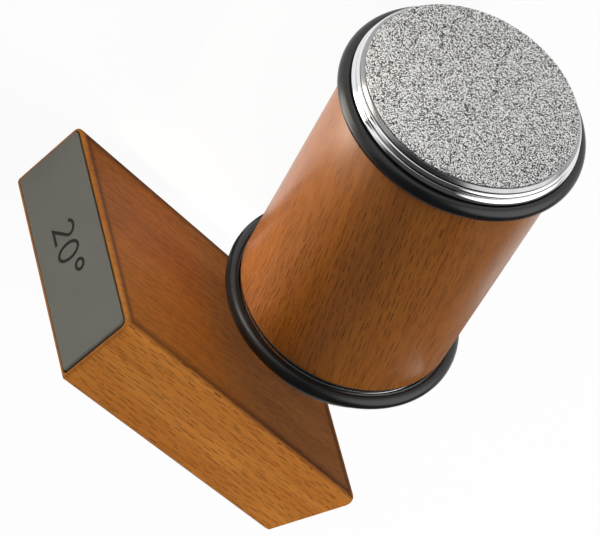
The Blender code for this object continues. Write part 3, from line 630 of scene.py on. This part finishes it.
ground_tree.links.new(ground_relief, ground_shader.inputs["Normal"])
honing_corners = disc_back_corners + [(DISC_RADIUS, BEVEL_START, 0.00006), (FACE_RADIUS, FACE, 0.00020),
                                      (0, FACE, 0)]
honing_face = turned("fine_honing_face", rounded(honing_corners), FINE_END)
dress(honing_face, ground_steel, "fine_disc", "honing_disc")


# Floor. A plain white table top, painted matt. To the camera and in reflections it is nearly white, and
# the shadow of the two pieces on it stays as a faint one.
FLOOR_REACH = 6
FLOOR_DROP = 0.0001
floor_mesh = bpy.data.meshes.new("floor")
floor_mesh.from_pydata([(-FLOOR_REACH, -FLOOR_REACH, 0), (FLOOR_REACH, -FLOOR_REACH, 0),
                        (FLOOR_REACH, FLOOR_REACH, 0), (-FLOOR_REACH, FLOOR_REACH, 0)], [], [(0, 1, 2, 3)])
floor = bpy.data.objects.new("floor", floor_mesh)
floor.location = (0, 0, -FLOOR_DROP)
bpy.context.collection.objects.link(floor)
table_top, table_tree, spare_shader = surface("matt_white_table")
table_tree.nodes.remove(spare_shader)
table_matt = add_node(table_tree, "ShaderNodeBsdfDiffuse", {"Color": linear("#e8e8e8")}).outputs[0]
table_white = add_node(table_tree, "ShaderNodeEmission",
                       {"Color": (1, 1, 1, 1), "Strength": 1.0}).outputs[0]
table_rays = add_node(table_tree, "ShaderNodeLightPath").outputs
mirrored = add_node(table_tree, "ShaderNodeMath", {"operation": "MAXIMUM"},
                    {0: table_rays["Is Glossy Ray"], 1: table_rays["Is Transmission Ray"]}).outputs[0]
direct = add_node(table_tree, "ShaderNodeMath", {"operation": "MAXIMUM"},
                  {0: table_rays["Is Camera Ray"], 1: mirrored}).outputs[0]
seen = add_node(table_tree, "ShaderNodeMath", {"operation": "MULTIPLY", 1: 0.95}, {0: direct}).outputs[0]
table_mix = add_node(table_tree, "ShaderNodeMixShader", None,
                     {0: seen, 1: table_matt, 2: table_white}).outputs[0]
table_tree.links.new(table_mix, table_tree.nodes["Material Output"].inputs["Surface"])
floor_mesh.materials.append(table_top)


# Light. A studio with a white sweep below and a dim ceiling above, and a bright window that only
# reflections see. A large soft key lamp stands behind the roller and a second one faces its grit and the
# pad. Two small warm panels in the gap between the pieces light the roller's shaded side.
middle = Vector((0.0, -0.035, 0.027))
across = Vector((math.cos(TURN), math.sin(TURN), 0))
ahead = Vector((math.sin(TURN), -math.cos(TURN), 0))
upward = Vector((0, 0, 1))
studio = bpy.data.worlds.new("pale_studio")
bpy.context.scene.world = studio
studio.use_nodes = True
studio_tree = studio.node_tree
surround = studio_tree.nodes["Background"]
surround.inputs["Color"].default_value = (0.95, 0.97, 1.0, 1.0)
surround.inputs["Strength"].default_value = 0.18
compass = add_node(studio_tree, "ShaderNodeTexCoord").outputs["Generated"]
height = add_node(studio_tree, "ShaderNodeSeparateXYZ", None, {"Vector": compass}).outputs["Z"]
sweep = add_node(studio_tree, "ShaderNodeMapRange",
                 {"From Min": -0.05, "From Max": 0.25, "To Min": 1.0, "To Max": 0.06},
                 {"Value": height}).outputs[0]
window_way = (across * -0.62 + upward * 0.63 + ahead * 0.47).normalized()
toward_window = add_node(studio_tree, "ShaderNodeVectorMath", {"operation": "DOT_PRODUCT", 1: window_way},
                         {0: compass}).outputs["Value"]
window = add_node(studio_tree, "ShaderNodeMapRange",
                  {"From Min": 0.74, "From Max": 0.84, "To Min": 0.0, "To Max": 2.0},
                  {"Value": toward_window}).outputs[0]
brightest = add_node(studio_tree, "ShaderNodeMath", {"operation": "MAXIMUM"},
                     {0: sweep, 1: window}).outputs[0]
mirrored_sweep = add_node(studio_tree, "ShaderNodeBackground", None, {"Color": brightest}).outputs[0]
backdrop = add_node(studio_tree, "ShaderNodeBackground",
                    {"Color": (1, 1, 1, 1), "Strength": 1.0}).outputs[0]
studio_rays = add_node(studio_tree, "ShaderNodeLightPath").outputs
studio_mirrored = add_node(studio_tree, "ShaderNodeMath", {"operation": "MAXIMUM"},
                           {0: studio_rays["Is Glossy Ray"],
                            1: studio_rays["Is Transmission Ray"]}).outputs[0]
studio_lit = add_node(studio_tree, "ShaderNodeMixShader", None,
                      {0: studio_mirrored, 1: surround.outputs[0], 2: mirrored_sweep}).outputs[0]
studio_mix = add_node(studio_tree, "ShaderNodeMixShader", None,
                      {0: studio_rays["Is Camera Ray"], 1: studio_lit, 2: backdrop}).outputs[0]
studio_tree.links.new(studio_mix, studio_tree.nodes["World Output"].inputs["Surface"])

LAMP_DISTANCE = 0.9
for name, direction, size, power, colour in (
        ("lamp_key", across * -0.60 + upward * 0.72 - ahead * 0.42, 0.45, 7.5, (1.0, 0.98, 0.95)),
        ("lamp_face", ahead * 0.77 + across * 0.62 + upward * 0.10, 0.40, 3.8, (1.0, 0.99, 0.97))):
    lamp_data = bpy.data.lights.new(name, "AREA")
    lamp_data.shape = "DISK"
    lamp_data.size = size
    lamp_data.energy = power
    lamp_data.color = colour
    lamp = bpy.data.objects.new(name, lamp_data)
    lamp.location = middle + direction.normalized() * LAMP_DISTANCE
    lamp.rotation_euler = direction.to_track_quat("Z", "Y").to_euler()
    lamp.visible_camera = False
    lamp.visible_glossy = False
    bpy.context.collection.objects.link(lamp)

open_end_back = (across * 0.85 - upward * 0.5).normalized()
open_end_spot = roller_middle + across * 0.055 + ahead * 0.030 - upward * 0.015
block_front_spot = Vector((roller_middle.x + 0.008, block_low.y - 0.0025, 0.018))
for name, back, spot, width, length, power, reflected in (
        ("open_end_panel", open_end_back, open_end_spot, 0.022, 0.060, 0.020, True),
        ("narrow_end_panel", Vector((0, 1, 0)), block_front_spot, 0.032, 0.056, 0.017, False)):
    panel_data = bpy.data.lights.new(name, "AREA")
    panel_data.shape = "RECTANGLE"
    panel_data.size = width
    panel_data.size_y = length
    panel_data.energy = power
    panel_data.color = (1.0, 0.92, 0.80)
    panel = bpy.data.objects.new(name, panel_data)
    long_way = (ahead - back * ahead.dot(back)).normalized()
    panel_axes = Matrix((long_way.cross(back), long_way, back)).transposed().to_4x4()
    panel.matrix_world = Matrix.Translation(spot) @ panel_axes
    panel.visible_camera = False
    panel.visible_glossy = reflected
    bpy.context.collection.objects.link(panel)


# Flags. Black cards that only reflections see. One puts the dark stripe into the chrome, two keep the
# white table out of the block's wide face, and one stands behind the roller to deepen its far side.
CARD_LIFT = 0.0002
card_black = surface("black_card", Base_Color=linear("#101010"), Roughness=0.9)[0]
chrome_card_spot = roller_middle + across * 0.125 + ahead * 0.100 - upward * 0.027
roller_card_spot = roller_middle - across * 0.110 - ahead * 0.120 + upward * 0.006
for name, length, width, place in (
        ("chrome_card", 0.100, 0.120, Matrix.Translation(chrome_card_spot) @ Matrix.Rotation(TURN, 4, "Z")),
        ("block_card", 0.140, 0.053, Matrix.Translation((-0.070, block_low.y - 0.027, CARD_LIFT))),
        ("foot_card", 0.054, 0.009, Matrix.Translation((0.027, block_low.y - 0.005, CARD_LIFT))),
        ("roller_card", 0.240, 0.070,
         Matrix.Translation(roller_card_spot) @ Matrix.Rotation(math.pi / 2, 4, "X"))):
    card_mesh = bpy.data.meshes.new(name)
    card_mesh.from_pydata([(-length / 2, -width / 2, 0), (length / 2, -width / 2, 0),
                           (length / 2, width / 2, 0), (-length / 2, width / 2, 0)], [], [(0, 1, 2, 3)])
    card_mesh.materials.append(card_black)
    card = bpy.data.objects.new(name, card_mesh)
    bpy.context.collection.objects.link(card)
    card.matrix_world = place
    card.visible_camera = False
    card.visible_diffuse = False
    card.visible_shadow = False


# Camera. A long lens that looks down at the roller's grit face from the photograph's side, so that near
# and far ends come out almost alike in size. It is rolled until the block hangs at the left.
camera_data = bpy.data.cameras.new("camera")
camera_data.sensor_width = 36.0
camera_data.lens = 210.0
camera = bpy.data.objects.new("camera", camera_data)
bpy.context.collection.objects.link(camera)
view_right = Vector((-0.4458, -0.8656, 0.2282)).normalized()
view_back = Vector((0.8034, -0.2744, 0.5285)).normalized()
view_up = view_back.cross(view_right).normalized()
camera_axes = Matrix((view_right, view_up, view_back)).transposed().to_4x4()
view_from = Vector((0.626561, -0.245269, 0.434685))
camera.matrix_world = Matrix.Translation(view_from) @ camera_axes
camera_data.clip_start = 0.05
camera_data.clip_end = 20.0
bpy.context.scene.camera = camera
bpy.context.scene.view_settings.view_transform = "Standard"
